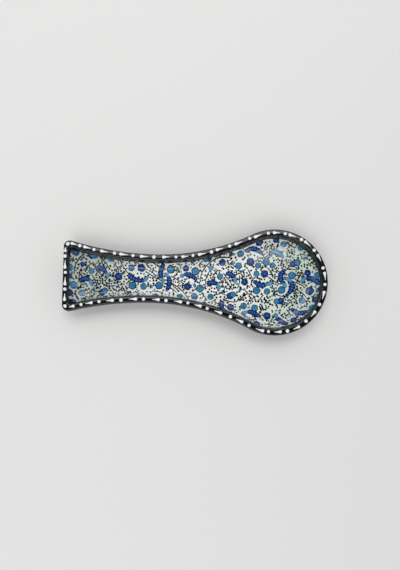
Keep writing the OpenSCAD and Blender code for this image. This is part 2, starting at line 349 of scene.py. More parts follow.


# Clear glaze on a white ground: faintly green, with painted shade that makes it greener and darker towards
# both ends, where the floor curves up
def makeWhiteGlaze():
    material, tree, shader, place = newMaterial("whiteGroundUnderClearGlaze", *glazes["clearFinish"])
    ground = patches(tree, place, linear(glazes["white"]), glazes["whiteCool"], *glazes["coolPatch"])
    axes = addNode(tree, "ShaderNodeSeparateXYZ", {"Vector": place})
    # Painted shade: the ground turns greener and darker along x towards each end of the dish
    for reachOf, colour in (("handleShadeSpan", "paintedShadeHandle"), ("bowlShadeSpan", "paintedShadeBowl")):
        near, far = [x * toMetres for x in glazes[reachOf]]
        endShade = addNode(tree, "ShaderNodeMapRange",
                       {"From Min": near, "From Max": far, "Value": axes.outputs["X"]},
                       interpolation_type="SMOOTHSTEP")
        mix = addNode(tree, "ShaderNodeMix",
                      {0: endShade.outputs["Result"], 6: ground, 7: linear(glazes[colour])}, data_type="RGBA")
        ground = mix.outputs[2]
    specks = patches(tree, place, ground, glazes["speck"], *glazes["speckPatch"])
    tree.links.new(specks, shader.inputs["Base Color"])
    return material


# Bare fired buff clay on the foot: matt, open and sandy, with a few iron specks
def makeClay():
    material, tree, shader, place = newMaterial("bareBuffClay", *glazes["clayFinish"])
    sand = patches(tree, place, linear(glazes["clay"]), glazes["clayPale"], *glazes["palePatch"])
    iron = patches(tree, place, sand, glazes["clayIron"], *glazes["ironPatch"])
    tree.links.new(iron, shader.inputs["Base Color"])
    return material


# Underglaze colour: glossy as the glaze over it, and each brush touch has its own strength,
# kept in the mesh as shade, with the streaks of the brush in it
def makePaint(name, dark, light, streak):
    material, tree, shader, place = newMaterial(name, *glazes["clearFinish"])
    shade = addNode(tree, "ShaderNodeAttribute", {}, attribute_name="shade")
    touch = addNode(tree, "ShaderNodeMix",
                    {0: shade.outputs["Fac"], 6: linear(dark), 7: linear(light)}, data_type="RGBA")
    colour = patches(tree, place, touch.outputs[2], streak, *glazes["streakPatch"])
    tree.links.new(colour, shader.inputs["Base Color"])
    return material


# White relief enamel, set on in drops: opaque, soft gloss, faintly blue in small soft patches
def makeEnamel():
    material, tree, shader, place = newMaterial("whiteReliefEnamel", *enamel["finish"])
    colour = patches(tree, place, linear(enamel["white"]), enamel["cool"], *enamel["coolPatch"])
    tree.links.new(colour, shader.inputs["Base Color"])
    return material


blackGlaze = makeBlackGlaze()
whiteGlaze = makeWhiteGlaze()
bareClay = makeClay()
reliefEnamel = makeEnamel()
cobaltPaint, turquoisePaint, linePaint, stemPaint = [
    makePaint(name, *colours) for name, colours in paints.items()]
print("materials made")

# Black glaze and clay, as rings from the foot up the wall, over the lip and down the cove
ringSize = len(outline(wallRings(0)[0]))
wavePhases = [dice.uniform(0, 2 * math.pi) for _ in dish["edgeCounts"]]


def edgeShare(i):
    turn = 2 * math.pi * i / ringSize
    waves = [math.sin(count * turn + phase) for count, phase in zip(dish["edgeCounts"], wavePhases)]
    return 1 + dish["edgeWave"] * sum(waves) / 2


def coveRows(deepAt, start, end, count):
    rows = []
    for k in range(count + 1):
        table = coveTable(deepAt(k / count))
        rows.append([covePoint(table, i, start(i) + (end(i) - start(i)) * k / count)
                     for i in range(ringSize)])
    return rows


outsideRows = [outline(ring) for ring in wallRings(0) + lipRings(0)]
bandRows = coveRows(lambda s: -dish["edgeRelief"] * s**2, lambda i: 0, edgeShare, steps["band"])
edgeRows = coveRows(lambda s: dish["edgeDepth"], edgeShare, edgeShare, 1)[:1]
glazeLine = [outline(wallRings(dish["glaze"])[0])]
blackRows = glazeLine + outsideRows + bandRows[1:] + edgeRows
blackPoints, blackFaces = makeShell(
    "blackGlazedRimAndWall", blackRows, False, False, blackGlaze, "black_glaze")

whiteRows = coveRows(lambda s: 0, lambda i: edgeShare(i) - dish["underEdge"], lambda i: 2, steps["floor"])
whitePoints, whiteFaces = makeShell(
    "whiteGlazedInside", whiteRows, False, True, whiteGlaze, "white_glaze")

deep = dish["glaze"]
clayRings = footRings() + wallRings(deep) + lipRings(deep)
clayRings += [coveRing(deep, 2 * k / steps["floor"]) for k in range(1, steps["floor"] + 1)]
clayRows = [outline(ring) for ring in clayRings]
makeShell("bareClayBodyAndFoot", clayRows, True, True, bareClay, "clay_body")
print("dish made")

# Surfaces that the painting and the enamel are laid on
whiteTree = BVHTree.FromPolygons(whitePoints, whiteFaces)
allPoints = blackPoints + whitePoints
allFaces = blackFaces + [tuple(i + len(blackPoints) for i in face) for face in whiteFaces]
dishTree = BVHTree.FromPolygons(allPoints, allFaces)
straightDown = Vector((0, 0, -1))


# A place in the photograph, in pixels, to the point of the dish it shows
def fromPhoto(place):
    u, v = place
    flat = Vector(((u - shot["middle"][0]) / shot["focal"], (shot["middle"][1] - v) / shot["focal"]))
    c, s = math.cos(shot["roll"]), math.sin(shot["roll"])
    start = Vector((-shot["forward"] * s, shot["forward"] * c, shot["height"]))
    ray = Vector((flat.x * c - flat.y * s, flat.x * s + flat.y * c, -1)).normalized()
    hit = dishTree.ray_cast(start, ray)[0]
    return hit if hit else start + ray * (start.z / -ray.z)


# lift is how far over the glaze the point lies
def onSurface(x, y, lift, tree=whiteTree):
    above = Vector((x, y, 2 * dish["height"]))
    hit, normal, _, _ = tree.ray_cast(above, straightDown)
    if hit is None:  # past the white: the touch goes on under the black slip
        hit, normal, _, _ = dishTree.ray_cast(above, straightDown)
        lift = -dish["glaze"]
    if normal.z < 0:
        normal.negate()
    return hit + normal * lift


# The brush: collects touches, each one a thin sheet of colour that lies close over the glaze
class Brush:
    def __init__(self):
        self.points = []
        self.faces = []
        self.shades = []

    def addGrid(self, rows, closed, shade):
        base = len(self.points)
        width = len(rows[0])
        for row in rows:
            self.points.extend(row)
            self.shades.extend([shade] * width)
        for k in range(len(rows) - 1):
            for i in range(width if closed else width - 1):
                j = (i + 1) % width
                a = base + k * width
                self.faces.append((a + i, a + width + i, a + width + j, a + j))
        return base

    def addFan(self, rows, shade):
        centre = len(self.points)
        self.points.append(sum(rows[0], Vector()) / len(rows[0]))
        self.shades.append(shade)
        base = self.addGrid(rows, True, shade)
        width = len(rows[0])
        for i in range(width):
            self.faces.append((centre, base + i, base + (i + 1) % width))

    def make(self, name, material, slotName, *nodes):
        piece = makeMesh(name, self.points, self.faces, material)
        layer = piece.data.attributes.new("shade", "FLOAT", "POINT")
        layer.data.foreach_set("value", self.shades)
        if nodes:
            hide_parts(*nodes)
        return piece


painting = {
    "stemLift": 0.03, "berryLift": 0.05, "leafLift": 0.06, "flowerLift": 0.1, "layer": 0.035,
    "stemWidth": 1.15, "twigWidth": 0.75, "berryRadius": 1.0, "outlineWidth": 0.6,
    "leafWidth": 4.6, "lobes": 6, "lobeFill": 0.56, "flowerSwell": 1.11, "flowerRim": 1.06,
    "sprigTries": 6000, "bareRoom": 1.15, "stemRoom": 1.5, "berryRoom": 0.9,
    "handleEdge": -62, "handleRoom": 0.68,  # left of this x the sprigs stand closer together
    "twigEvery": 2.5, "twigLength": 2.1,  # side twigs with a berry along each stem
    "steepest": 0.6,  # a round touch on the steep cove is foreshortened from above at most this far
    "flatEnough": 0.999,  # above this a touch lies on level glaze
    "largeTouch": 1.5, "largeRings": 8, "smallRings": 4,  # close rings follow the steep cove
    "lineStep": 0.8, "handShake": (0.9, 1.1), "thinnest": 0.02, "leafletFullness": 0.6,
    "outlineShade": 0.2, "leafLight": 0.95, "budShade": 0.3, "budOutline": 4.4, "budWidth": 3.6,
    "twigSlant": 0.6, "twigBow": 0.3, "twigRoom": 0.9, "twigLengths": (0.8, 1.2),
    "berryApart": 1.9, "berrySizes": (0.75, 1.2), "berryCorners": 11, "berryUneven": 0.1,
    "sprigStep": 0.9, "sprigBends": (0.4, 0.9), "sprigReach": 1.1,
    "leafletOutline": 2.1, "leafletWidth": 1.2, "leafletOutlineShade": 0.5, "leafletShade": 0.2,
}
# A flower's petals, as shares of its radius
flowerShape = {
    "petals": 5, "petalPlace": 0.52, "petalSize": 0.39, "petalUneven": 0.08, "petalShade": 0.35,
    "heartSize": 0.25, "lobeDepth": 0.06, "rimShade": 0.4, "rimCorners": 30, "petalCorners": 12,
    "heartCorners": 10,
}
# A leaf's blade and lobes, as shares of its width
leafShape = {
    "outer": 0.56, "inner": 0.34, "fullness": 0.45, "teeth": 4.5, "toothDepth": 0.26,
    "countAlong": 28, "countAcross": 5, "lobeStart": 0.6, "lobeSpare": 0.2, "lobeSlant": 0.3,
    "lobeRoot": 0.2, "lobeCrown": 0.44, "lobeLights": (0.7, 1), "lobePoints": 4,
    "tipWithin": 0.35, "tipBeyond": 0.45, "tipOutline": 4, "tipWidth": 3, "tipShade": 0.4,
}


# A round or lobed touch about a point, foreshortened where the cove is steep
def blot(brush, centre, radius, lift, shade, lobes=0, depth=0, turn=0, count=20, uneven=0.04):
    hit, normal, _, _ = whiteTree.ray_cast(Vector((centre.x, centre.y, 2 * dish["height"])), straightDown)
    across, share = Vector((0, 0)), 1
    if hit is not None and abs(normal.z) < painting["flatEnough"]:
        across = Vector((normal.x, normal.y)).normalized()
        share = max(abs(normal.z), painting["steepest"])
    rough = [1 + dice.uniform(-uneven, uneven) for _ in range(count)]
    rows = []
    rings = painting["largeRings" if radius > painting["largeTouch"] else "smallRings"]
    for k in range(1, rings + 1):
        ring = k / rings
        row = []
        for i in range(count):
            a = 2 * math.pi * i / count
            r = radius * ring * (1 + depth * math.cos(lobes * (a - turn))) * (1 + (rough[i] - 1) * ring)
            offset = Vector((r * math.cos(a), r * math.sin(a)))
            offset -= across * (offset.dot(across) * (1 - share))
            row.append(onSurface(centre.x + offset.x, centre.y + offset.y, lift))
        rows.append(row)
    brush.addFan(rows, shade)


def curveThrough(places, spacing):
    points = [fromPhoto(place) for place in places]
    points = [Vector((p.x, p.y)) for p in points]
    ends = [points[0] * 2 - points[1]] + points + [points[-1] * 2 - points[-2]]
    line = []
    for k in range(1, len(ends) - 2):
        a, b, c, d = ends[k - 1:k + 3]
        count = max(2, math.ceil((c - b).length / spacing))
        for i in range(count):
            t = i / count
            line.append(0.5 * (2 * b + (c - a) * t + (2 * a - 5 * b + 4 * c - d) * t**2
                               + (3 * b - a - 3 * c + d) * t**3))
    line.append(points[-1])
    return line


def sidewaysOf(line, i):
    along = line[min(i + 1, len(line) - 1)] - line[max(i - 1, 0)]
    return Vector((-along.y, along.x)).normalized()


def stroke(brush, places, lift, shade, halfAt):
    sweep(brush, curveThrough(places, painting["lineStep"]), lift, shade, halfAt)


# A stroke thins from where the brush is set down, a leaflet is pointed at both ends
def thinning(width, taper=0.25):
    return lambda share: width / 2 * (1 - taper * share)


def leaflet(width):
    full = painting["leafletFullness"]
    return lambda share: width / 2 * max(0, math.sin(math.pi * share)) ** full + painting["thinnest"]


def sweep(brush, line, lift, shade, halfAt):
    rows = []
    for i, p in enumerate(line):
        share = i / (len(line) - 1)
        half = halfAt(share) * dice.uniform(*painting["handShake"])
        side = sidewaysOf(line, i)
        rows.append([onSurface(p.x + side.x * half * k, p.y + side.y * half * k, lift) for k in (1, 0, -1)])
    brush.addGrid(rows[::-1], False, shade)


# Flowers of the painting: place in the photo and radius, both in pixels
flowers = {
    "cobalt": [
        (76, 252.5, 3), (118.5, 276.5, 3.5), (69, 275.5, 2.6), (67, 292, 3), (73, 301.5, 2.8),
        (141.5, 268, 3.5), (186, 268.5, 2.8), (187.5, 286.5, 3.2), (155, 295.5, 3), (209, 257, 2.8),
        (222.5, 262.5, 3), (259.5, 243, 3.3), (250.5, 262, 3.5), (264.5, 274, 3.3), (244.5, 282, 3),
        (230.5, 307.5, 3.3), (257, 323.5, 3.2), (204, 304.5, 3), (276, 240.5, 2.6), (307.5, 273, 2.8),
        (309.5, 291, 3.6), (317.5, 299.5, 3), (267, 316, 3.2), (293.5, 320, 3), (91, 256, 3),
        (102, 292.5, 3), (230, 296, 3), (293, 264, 3), (280.5, 301, 3)],
    "turquoise": [
        (93.5, 255, 3.3), (110.5, 258.5, 3.3), (69.5, 267, 3), (91.5, 271, 2.6), (74, 285, 3.2),
        (68.5, 283, 2), (82, 293, 2.8), (131.5, 268, 2.8), (132.5, 285.5, 3.4), (143.5, 286.5, 2.8),
        (171, 269.5, 3.6), (159, 285.5, 3.3), (195.5, 271.5, 3.5), (200, 288.5, 3.3), (180, 296, 2.8),
        (194.5, 296.5, 3), (220, 276.5, 2.7), (210.5, 297, 2.7), (240.5, 254, 3), (238.5, 266, 3),
        (258, 265.5, 2.7), (266, 262, 3.2), (272.5, 265.5, 2.6), (256.5, 274, 2.6), (256.5, 290.5, 3.2),
        (267, 291.5, 2.7), (243.5, 306, 2.8), (254.5, 308, 3), (283.5, 244.5, 2.8), (300.5, 248, 2.5),
        (292, 275.5, 3.3), (281.5, 290, 3.2), (316.5, 276, 3), (302, 300.5, 2.8), (312, 307.5, 2.6),
        (249.5, 321.5, 2.6), (105, 290.5, 2.6), (233, 294.5, 2.6), (297.5, 262.5, 2.8),
        (276.5, 301.5, 2.6), (206, 259.5, 2.6)],
}

# Feather leaves: stalk, middle of the bend, end of the blade, and the turquoise tip or None
leaves = [
    ((96.5, 268.5), (101, 268.5), (107, 273.5), (108, 276.5)),
    ((80, 281), (85, 279), (90.5, 280.5), (91.5, 284)),
    ((128.5, 274), (135, 279), (145, 280.5), (147, 277.5)),
    ((164.5, 264), (161, 272), (162.5, 279), (163.5, 281.5)),
    ((168, 276), (169, 283), (166, 291.5), (165.5, 274)),
    ((197, 280.5), (190, 275.5), (183.5, 275), (181, 276.5)),
    ((226, 274), (230, 274.5), (235.5, 278), (235, 282)),
    ((207, 285), (212, 283), (218, 285), (219, 288.5)),
    ((253.5, 280.5), (260, 284.5), (267, 284.5), (271, 283)),
    ((262.5, 254.5), (256, 250), (249, 249.5), (246.5, 251)),
    ((223.5, 301), (222, 306), (223, 311), (227, 311.5)),
    ((259, 317), (253, 313), (246.5, 312), (242.5, 313.5)),
    ((286, 269.5), (281, 276), (283.5, 284), (285.5, 286.5)),
    ((290.5, 281), (291.5, 287), (286.5, 296), (287, 278.5)),
    ((319, 285), (313, 279.5), (305, 278.5), (302, 281)),
    ((291.5, 308), (298, 312.5), (307, 311), None),
    ((288, 324), (281, 321), (276.5, 317), (275.5, 314)),
]
turquoiseLeaves = [((270, 254.5), (276, 252.5), (283.5, 258), None)]
buds = {"cobalt": [((82, 261.5), (83.5, 266.5)), ((229, 253), (233, 255)), ((229.5, 312), (233, 314))],
        "turquoise": [((209.5, 266), (212, 271))]}

outlineBrush = Brush()
cobaltBrush = Brush()
turquoiseBrush = Brush()
leafBrush = Brush()
stemBrush = Brush()
berryBrush = Brush()


# A rosette: dark lobed outline, five round petals, and a middle lighter or darker than they are
def rosette(brush, centre, radius, lift, middleShade):
    petals = flowerShape["petals"]
    turn = dice.uniform(0, 2 * math.pi / petals)
    step = painting["layer"]
    rim = radius * painting["flowerRim"]
    rimShade = dice.random() * flowerShape["rimShade"]
    blot(outlineBrush, centre, rim, lift, rimShade, petals, flowerShape["lobeDepth"], turn,
         flowerShape["rimCorners"])
    for k in range(petals):
        a = turn + 2 * math.pi * k / petals
        place = centre + Vector((math.cos(a), math.sin(a), 0)) * radius * flowerShape["petalPlace"]
        shade = dice.uniform(0, flowerShape["petalShade"])
        blot(brush, place, radius * flowerShape["petalSize"], lift + step, shade,
             count=flowerShape["petalCorners"], uneven=flowerShape["petalUneven"])
    blot(brush, centre, radius * flowerShape["heartSize"], lift + 2 * step, middleShade,
         count=flowerShape["heartCorners"])


# A place on the bend from start to end, the way it runs, and its left side
def bendAt(start, bow, end, t):
    p = (1 - t) ** 2 * start + 2 * t * (1 - t) * bow + t * t * end
    along = ((1 - t) * (bow - start) + t * (end - bow)).normalized()
    return p, along, Vector((-along.y, along.x))


def blade(brush, points, width, lift, shade, grow):
    start, middle, end = [Vector((p.x, p.y)) for p in map(fromPhoto, points)]
    bow = middle * 2 - (start + end) / 2
    chord = end - start
    normal = Vector((-chord.y, chord.x)).normalized()
    side = 1 if (middle - (start + end) / 2).dot(normal) > 0 else -1
    count = leafShape["countAlong"]
    countAcross = leafShape["countAcross"]
    rows = []
    for i in range(count + 1):
        t = i / count
        p, _, out = bendAt(start, bow, end, t)
        out = out * side
        swell = max(0, math.sin(math.pi * t)) ** leafShape["fullness"]
        depth = leafShape["toothDepth"]
        teeth = 1 - depth + depth * abs(math.sin(leafShape["teeth"] * math.pi * t))
        outer = width * leafShape["outer"] * swell * teeth + grow
        inner = width * leafShape["inner"] * swell + grow
        row = []
        for k in range(countAcross + 1):
            off = outer + (-inner - outer) * k / countAcross
            row.append(onSurface(p.x + out.x * off, p.y + out.y * off, lift))
        rows.append(row if side > 0 else row[::-1])
    brush.addGrid(rows[::-1], False, shade)
    return start, bow, end, side


def featherLeaf(points, tip, brush, light):
    step = painting["layer"]
    lift = painting["leafLift"]
    width = painting["leafWidth"]
    outlineShade = painting["outlineShade"]
    blade(outlineBrush, points, width, lift, outlineShade, painting["outlineWidth"])
    start, bow, end, side = blade(brush, points, width, lift + step, 0, 0)
    lobeWidth = (end - start).length / painting["lobes"] * painting["lobeFill"]
    slant = lobeWidth * leafShape["lobeSlant"]
    lobePoints = leafShape["lobePoints"]
    for k in range(painting["lobes"]):  # slanted strokes across the blade, lighter than it is
        t = (k + leafShape["lobeStart"]) / (painting["lobes"] + leafShape["lobeSpare"])
        p, along, out = bendAt(start, bow, end, t)
        out = out * side * width * math.sin(math.pi * t) ** leafShape["fullness"]
        root = p - out * leafShape["lobeRoot"] - along * slant
        crown = p + out * leafShape["lobeCrown"] + along * slant
        touch = [root.lerp(crown, j / lobePoints) for j in range(lobePoints + 1)]
        shade = light * dice.uniform(*leafShape["lobeLights"])
        sweep(brush, touch, lift + 2 * step, shade, leaflet(lobeWidth))
    if tip:  # a small turquoise leaflet grows from the nearer end
        ends = sorted((points[0], points[2]), key=lambda p: math.dist(p, tip))
        within = [ends[0][k] + (ends[0][k] - tip[k]) * leafShape["tipWithin"] for k in (0, 1)]
        beyond = [tip[k] + (tip[k] - ends[0][k]) * leafShape["tipBeyond"] for k in (0, 1)]
        line = (within, tip, beyond)
        stroke(outlineBrush, line, lift + 3 * step, outlineShade, leaflet(leafShape["tipOutline"]))
        stroke(turquoiseBrush, line, lift + 4 * step, leafShape["tipShade"],
               leaflet(leafShape["tipWidth"]))


pixel = (shot["height"] - dish["floorHeight"]) / shot["focal"]  # what a pixel shows on the floor, in mm
lifts = {"cobalt": painting["flowerLift"], "turquoise": painting["flowerLift"] + 3 * painting["layer"]}
for kind, brush, middle in (("cobalt", cobaltBrush, 0.8), ("turquoise", turquoiseBrush, 0)):
    for u, v, radius in flowers[kind]:
        size = radius * pixel * painting["flowerSwell"]
        rosette(brush, fromPhoto((u, v)), size, lifts[kind], middle)
for *points, tip in leaves:
    featherLeaf(points, tip, leafBrush, painting["leafLight"])
for *points, tip in turquoiseLeaves:
    featherLeaf(points, tip, turquoiseBrush, painting["leafLight"])
for kind, brush in (("cobalt", cobaltBrush), ("turquoise", turquoiseBrush)):
    for ends in buds[kind]:
        stroke(outlineBrush, ends, painting["leafLift"], painting["outlineShade"],
               leaflet(painting["budOutline"]))
        stroke(brush, ends, painting["leafLift"] + painting["layer"], painting["budShade"],
               leaflet(painting["budWidth"]))
print("flowers and leaves painted")

# Stems, each a run of places in the photo
stems = [
    ((84, 253.5), (80.5, 256.7), (77.8, 260.6), (75.6, 264.5), (74.4, 269), (74, 274.5)),
    ((85, 272), (87, 267.5), (89, 265.2), (91.8, 263.5), (94, 262.7)),
    ((81.3, 268), (80, 271), (79.2, 274.5), (79, 279), (78.5, 282.5)), ((72, 277), (74, 280)),
    ((95.3, 268.5), (97.6, 271.2), (100, 273.5), (104, 276)),
    ((92.3, 275.4), (94.7, 279), (95.6, 282.3), (97.5, 286)),
    ((91.5, 289), (94, 290.5), (98, 291.5), (100, 292)), ((100.4, 256), (102.8, 258.7), (104.5, 262)),
    ((106, 262), (107.5, 265.5), (109.8, 268.7)),
    ((113.3, 263.7), (116.2, 265.6), (117.8, 268.5), (118.8, 271.5)),
    ((115, 257), (118, 260.3), (118.5, 264)),
    ((120, 260), (122, 264.5), (124.2, 268), (126.3, 271), (129, 274)), ((83.5, 297), (86, 299)),
    ((85.5, 288.5), (87.6, 291.2), (89.7, 293.8), (92.3, 297.3)),
    ((75.3, 290.5), (75.7, 295), (78, 298.5)), ((81.2, 284.3), (80.3, 286.5), (80.2, 288.5)),
    ((116, 282.5), (118.5, 285), (119.7, 288)), ((110, 285.7), (112.5, 286.3), (115.6, 285)),
    ((122.5, 290), (126.5, 290.7), (129, 293.5), (130.5, 295.5)), ((129.5, 291), (127, 294.5)),
    ((116, 291.5), (119.4, 290.4), (122, 288.2)), ((128, 260), (130.5, 264.5)),
    ((136.5, 261.3), (139, 264.5)),
    ((145.3, 262), (147.7, 266), (150, 268.3), (153, 270), (157.2, 271.8)),
    ((152.7, 261.8), (156, 264.7), (158.8, 266.9)), ((139.5, 290), (136, 293)),
    ((145.5, 271.5), (149.8, 274.2), (155, 277.6), (160, 280), (164, 284)),
    ((147, 286.4), (151, 286), (156, 285.3)), ((152, 291), (157.2, 291.3), (161.9, 292.3)),
    ((174.5, 270.2), (180, 270)), ((177.2, 267), (179, 269.4)), ((176.4, 274), (178.3, 271.3)),
    ((171, 276), (174.8, 278.1), (179, 280.7), (183, 283.5)),
    ((171.5, 282.8), (175.3, 285.5), (178.5, 287.3), (181, 290), (183.8, 292.8), (186.4, 296),
     (188, 298.3)), ((170, 287.5), (173.2, 289.7), (177, 292.8)),
    ((195.5, 260), (193, 262.7), (191, 264.8)), ((202.3, 260.8), (200, 264), (198.5, 266.5)),
    ((198.5, 282), (200, 284.5)),
    ((229, 257.4), (220, 257.4), (215.8, 258.8), (212, 261), (206.5, 265.7), (202.8, 271),
     (200.6, 277), (200.1, 281.5)), ((209, 272.3), (207, 276), (205.9, 279.4), (205.6, 284)),
    ((206.2, 285.4), (203.8, 287.8)), ((215.5, 272.3), (213.8, 274.8), (212.5, 277.5), (211.8, 280.5)),
    ((216, 273), (216.5, 271.4), (219, 270.2), (221.3, 271.5)),
    ((223.3, 273.2), (226, 276.7), (228.6, 279.5), (230.7, 282.6), (231.8, 286.5)),
    ((220.5, 279.5), (222, 283), (223.4, 286.5), (225, 290)), ((227, 281.5), (229.5, 286), (232.4, 290)),
    ((221.7, 291), (221.9, 293)),
    ((214, 294.6), (218, 294.2), (220.8, 293.2), (224, 294.4), (227.5, 295.7)),
    ((234.5, 267), (233, 263.5)), ((235.5, 269.5), (236.6, 272.5), (236.8, 275)),
    ((239.6, 275.5), (239.5, 280), (239.1, 284), (237, 288.5)),
    ((245.5, 269.5), (242, 272), (238.7, 274)), ((243.6, 273.3), (244.8, 276.5)),
    ((248, 269.5), (250, 273.5), (251.5, 276.8), (253.5, 279.5)),
    ((257.6, 256), (258, 259.5), (258.6, 262)), ((262, 253.5), (264.4, 257.5)),
    ((244.2, 288.2), (245.7, 291.2), (247.6, 292.8)),
    ((236.5, 301.5), (241, 298.2), (244.5, 295.3), (247.5, 293.9), (251, 294.5), (254, 296.5)),
    ((254, 296.5), (251.5, 300), (248.5, 302), (247, 305)), ((263.3, 294.8), (260.7, 298), (258, 301)),
    ((224.3, 300.4), (228, 301), (233, 302), (236.5, 301.5)), ((213, 300), (216.5, 303), (219.5, 304.5)),
    ((201.5, 293), (204.5, 296.5), (207, 300)), ((265.9, 244.7), (264.6, 248), (263.9, 251.6)),
    ((273, 244.2), (271.1, 247), (269.6, 249), (269.3, 253.2), (270, 258)), ((279.5, 241.5), (277, 245)),
    ((264.8, 258), (268, 255.3), (270.1, 253.4)), ((267.6, 267.7), (269.6, 270.5), (272, 273)),
    ((274.6, 268.3), (277.5, 270.6), (280.7, 272.5)), ((271.8, 275.4), (275.9, 276.3), (279.8, 277.7)),
    ((268.3, 277.1), (271.8, 279.6), (276, 282.1), (280.7, 284.5)),
    ((287, 242), (289.8, 245), (295, 248)), ((286.7, 252.5), (287.4, 255), (289.6, 257.9)),
    ((284.5, 259.5), (285.5, 261.2), (287.6, 262.2), (290.5, 263.2)),
    ((286.2, 269.2), (288.6, 267.4), (291.8, 265.2)),
    ((286.5, 269.5), (290.5, 269), (294, 269.6), (299, 269.3)), ((300.7, 259.3), (304, 258), (307, 257)),
    ((309, 264.5), (312, 262.4), (314.5, 259.8)), ((313, 269.3), (315.3, 267.4), (317.3, 265.5)),
    ((295.6, 275.4), (299, 275.4), (302.7, 275), (305, 273.5)), ((298, 271.6), (300.5, 274.3)),
    ((296.4, 281.7), (298, 279.5), (299.5, 277)),
    ((291.5, 281), (295.3, 282.5), (299, 283.9), (302.2, 285.4), (304.3, 287.5)),
    ((293.2, 288.4), (296.4, 289.6), (300, 291.7), (303.2, 293.9), (305.8, 297), (308, 299.8),
     (310, 302.8)), ((293.3, 293.3), (295.8, 293.9), (298, 296.4)),
    ((294.9, 295), (294.5, 298.3), (296, 300.6)), ((315, 294), (313.8, 296), (312.4, 298.3)),
    ((275.1, 290), (271.3, 290.8)), ((273.6, 287.5), (274.1, 290), (275.3, 292.8)),
    ((273, 293), (278, 295.3), (282, 296.3), (285, 296.7)),
    ((282.8, 298.6), (284.7, 297.6), (286.8, 296)), ((283, 302), (286.5, 303), (288.5, 305)),
    ((268, 320), (269.5, 323.5), (270.5, 326.5)), ((286.5, 309.5), (289.5, 313.5), (290.5, 317)),
    ((316.5, 293), (318, 289.5)),
]
# Small dull leaflets, as their two ends
leaflets = [
    ((93.2, 286.8), (94.5, 290.2)), ((110.5, 285.9), (114.5, 286)), ((150.3, 284), (152.3, 288.5)),
    ((194.6, 282.8), (194.3, 288)), ((221.8, 290.3), (223, 293.6)), ((238, 290.8), (241.5, 289.8)),
    ((232, 262.5), (234, 266)), ((241, 271.8), (244.5, 270)), ((302.5, 258.7), (307, 257.1)),
    ((272.3, 291), (275.2, 290.4)), ((317.3, 288.5), (317, 293)), ((285.5, 303), (288.5, 304)),
]

